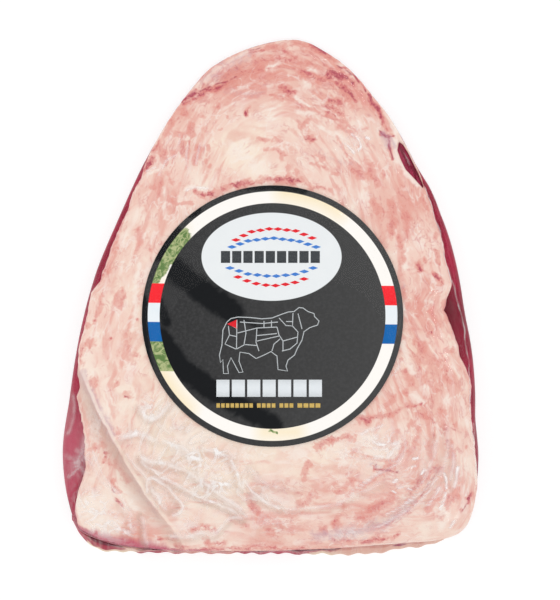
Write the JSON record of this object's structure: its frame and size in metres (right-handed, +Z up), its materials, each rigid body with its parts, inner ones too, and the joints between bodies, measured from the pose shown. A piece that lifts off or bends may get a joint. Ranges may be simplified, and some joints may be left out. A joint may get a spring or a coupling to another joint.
{
  "type": "raw picanha",
  "caption": "Raw picanha, vacuum packed: a tapering beef rump cap with its fat side up, lean showing at the edges, a round label on the fat and the bag's free end folded under.",
  "frame": {"origin": "centre of the whole object's bounding box in plan, on the surface it lies on", "axes": "+X across the cut, +Y from the thick end to the thin tip, +Z up out of the fat side"},
  "size_m": [0.1915, 0.2399, 0.0459],
  "materials": {
    "lean": "moist dark red muscle",
    "fat": "cream to pink fat, mottled with red",
    "film": "clear glossy shrunk film",
    "label": "satin coated paper"
  },
  "bodies": {
    "root": {"lean_muscle": "lean", "fat_cap": "fat", "vacuum_bag": "film", "label": "label"}
  },
  "joints": []
}
